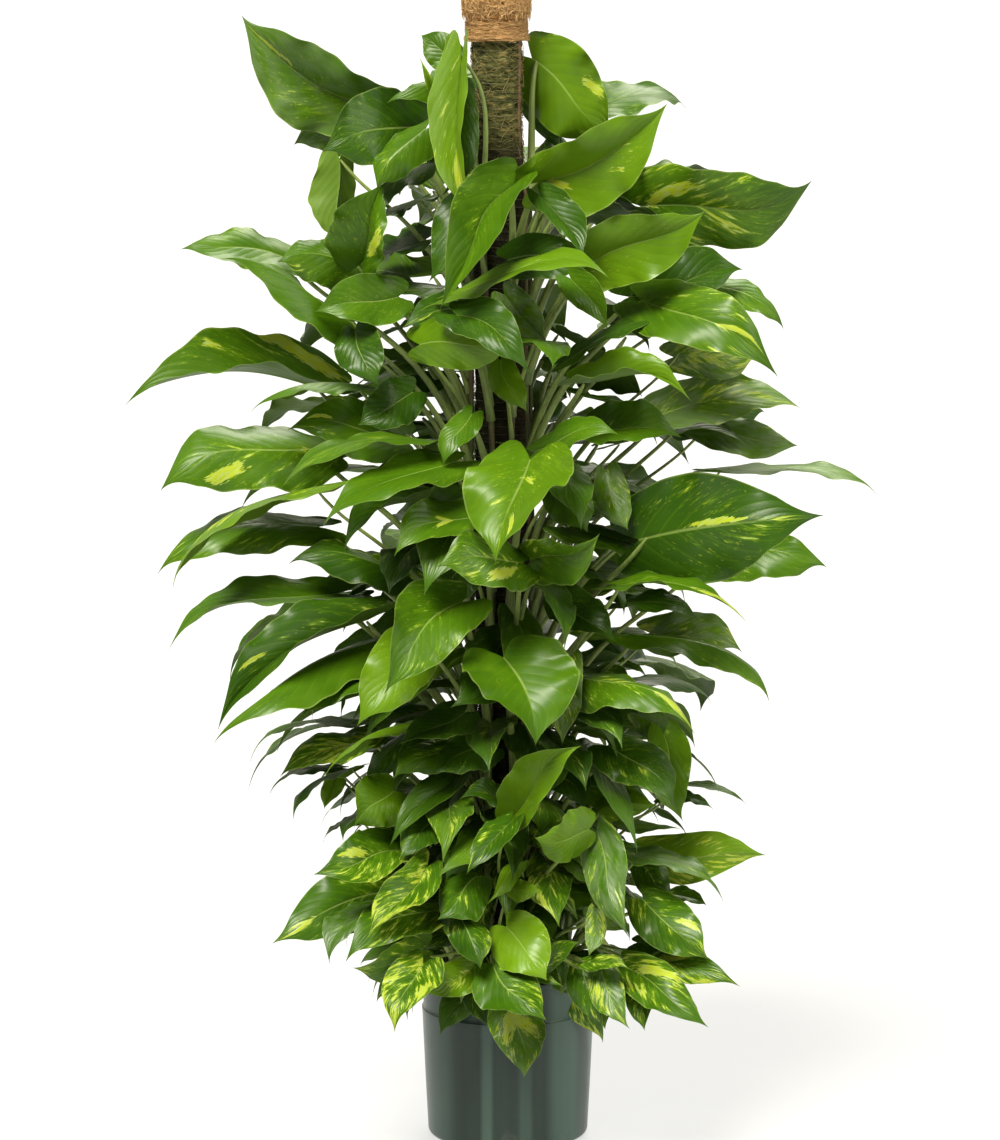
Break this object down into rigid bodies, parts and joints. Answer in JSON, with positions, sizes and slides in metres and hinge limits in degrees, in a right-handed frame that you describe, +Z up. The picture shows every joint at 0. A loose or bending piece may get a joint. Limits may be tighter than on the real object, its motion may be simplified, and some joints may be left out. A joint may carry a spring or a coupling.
{
  "type": "potted pothos plant",
  "caption": "Variegated pothos climbing a coir-topped moss pole, with heart-shaped leaves on long petioles all round it, in a round dark green nursery pot.",
  "frame": {"origin": "centre of the pot's underside, on the surface that it stands on", "axes": "+Z up along the pole; -Y towards the viewer of the picture; +X to the viewer's right"},
  "size_m": [1.0266, 0.7546, 1.6022],
  "materials": {
    "pot_plastic": "satin moulded plastic, dark grey-green",
    "potting_mix": "damp dark brown potting mix, crumbly",
    "stake_wood": "rough sawn wood",
    "moss": "matted green-brown moss bound with fine thread",
    "coir_twine": "hairy brown coir cord",
    "coir_fibre": "loose tan coir fibre",
    "leaf": "waxy leaf, mid green with yellow-cream streaks"
  },
  "bodies": {
    "root": {"pot": "pot_plastic", "potting_soil": "potting_mix", "pole_stake": "stake_wood", "moss_sleeve": "moss", "neck_binding": "coir_twine", "coir_head": "coir_fibre", "climbing_vine_1": "leaf", "climbing_vine_2": "leaf", "climbing_vine_3": "leaf", "climbing_vine_4": "leaf", "climbing_vine_5": "leaf", "climbing_vine_6": "leaf", "climbing_vine_7": "leaf", "climbing_vine_8": "leaf", "young_stem_1": "leaf", "young_stem_2": "leaf", "young_stem_3": "leaf", "young_stem_4": "leaf", "young_stem_5": "leaf", "young_stem_6": "leaf", "young_stem_7": "leaf", "young_stem_8": "leaf"}
  },
  "joints": []
}
